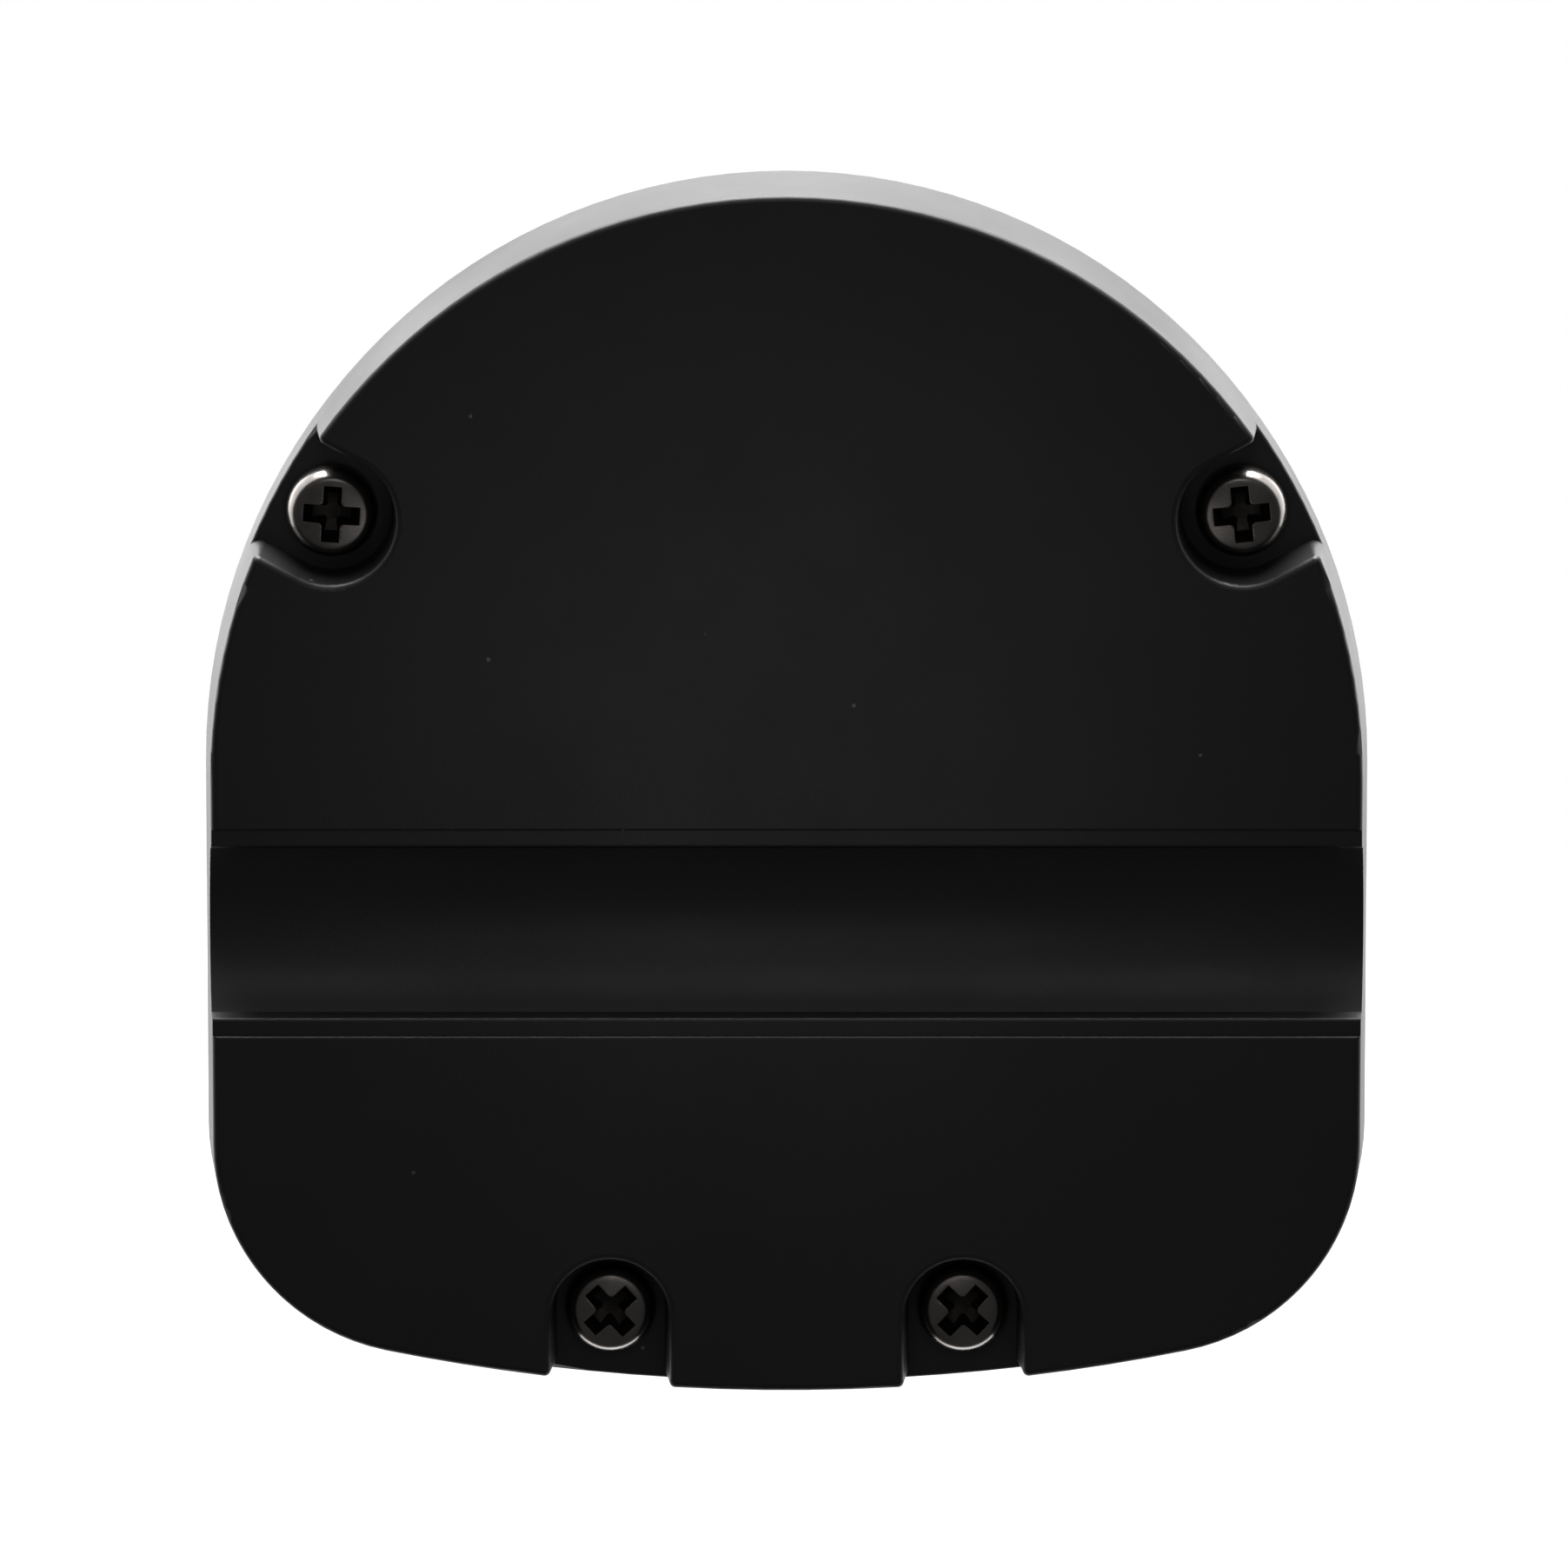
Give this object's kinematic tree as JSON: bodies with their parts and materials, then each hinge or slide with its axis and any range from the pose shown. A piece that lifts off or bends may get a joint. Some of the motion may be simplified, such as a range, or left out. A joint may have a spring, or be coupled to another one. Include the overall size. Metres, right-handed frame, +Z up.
{
  "type": "pedestrian traffic light",
  "caption": "Compact near-side pedestrian traffic light: D-shaped black case with hooded figure window, request button, screwed rear cover with rail channel and a threaded stem socket below.",
  "frame": {"origin": "centre of the mouth of the threaded stem socket in the underside", "axes": "+Z up, out of the crown; +Y towards the pedestrian, so the rear cover faces -Y; +X to the right as seen from behind"},
  "size_m": [0.1016, 0.0554, 0.107],
  "materials": {
    "cover_black": "fine-textured satin black moulding",
    "housing_black": "fine-textured satin black moulding",
    "screw_black": "black-nickel plated, polished head",
    "seal_rubber": "matt black rubber",
    "insert_brass": "turned brass",
    "visor_black": "matt black moulding",
    "lens_smoke": "smoked clear polycarbonate",
    "mask_black": "dead matt black sheet",
    "diffuser_red": "translucent red sheet",
    "diffuser_green": "translucent green sheet",
    "box_white": "white reflector moulding",
    "board_green": "solder-masked glass epoxy",
    "led_white": "white package with a clear window",
    "screw_zinc": "bright zinc plated",
    "chip_black": "moulded epoxy",
    "capacitor_can": "drawn can",
    "relay_case": "moulded case",
    "sounder_black": "moulded case",
    "terminal_green": "moulded block",
    "header_black": "moulded strip",
    "bezel_steel": "turned stainless steel",
    "nut_nylon": "glass-filled nylon",
    "ring_clear": "translucent acrylic",
    "button_red": "moulded red cap",
    "spring_steel": "drawn spring wire",
    "guide_nylon": "natural nylon",
    "switch_black": "phenolic case",
    "lever_steel": "stamped strip",
    "collar_metal": "nickel-plated brass"
  },
  "bodies": {
    "case": {"rear_cover": "cover_black", "cover_screws": "screw_black", "cover_gasket": "seal_rubber", "front_housing": "housing_black", "threaded_inserts": "insert_brass", "visor": "visor_black", "visor_screws": "screw_black", "signal_lens": "lens_smoke", "lens_gasket": "seal_rubber", "figure_mask": "mask_black", "red_diffuser": "diffuser_red", "green_diffuser": "diffuser_green", "light_box": "box_white", "led_board": "board_green", "red_leds": "led_white", "green_leds": "led_white", "light_box_screws": "screw_zinc", "control_board": "board_green", "board_spacers": "insert_brass", "board_screws": "screw_zinc", "microcontroller": "chip_black", "power_capacitors": "capacitor_can", "relay": "relay_case", "sounder": "sounder_black", "terminal_block": "terminal_green", "terminal_screws": "screw_zinc", "board_link": "header_black", "button_bezel": "bezel_steel", "button_gasket": "seal_rubber", "button_nut": "nut_nylon", "button_light_ring": "ring_clear", "return_spring": "spring_steel", "button_guide": "guide_nylon", "switch_body": "switch_black", "stem_collar": "collar_metal", "collar_seal": "seal_rubber", "collar_locknut": "collar_metal"},
    "button": {"push_button": "button_red", "button_seal": "seal_rubber"},
    "lever": {"switch_lever": "lever_steel"}
  },
  "joints": [
    {"name": "button_press", "type": "slide", "parent": "case", "child": "button", "axis": [0, -1, 0], "range_m": [0, 0.0025], "stiffness_N_per_m": 700, "springref_m": -0.002, "deforming": ["return_spring"]},
    {"name": "lever_swing", "type": "hinge", "parent": "case", "child": "lever", "pos_m": [0.0085, 0.0012, 0.0252], "axis": [0, 0, 1], "range_deg": [0, 15.1]}
  ],
  "couplings": [
    {"joint": "lever_swing", "follows": "button_press", "rad_per_m": 104.72}
  ]
}
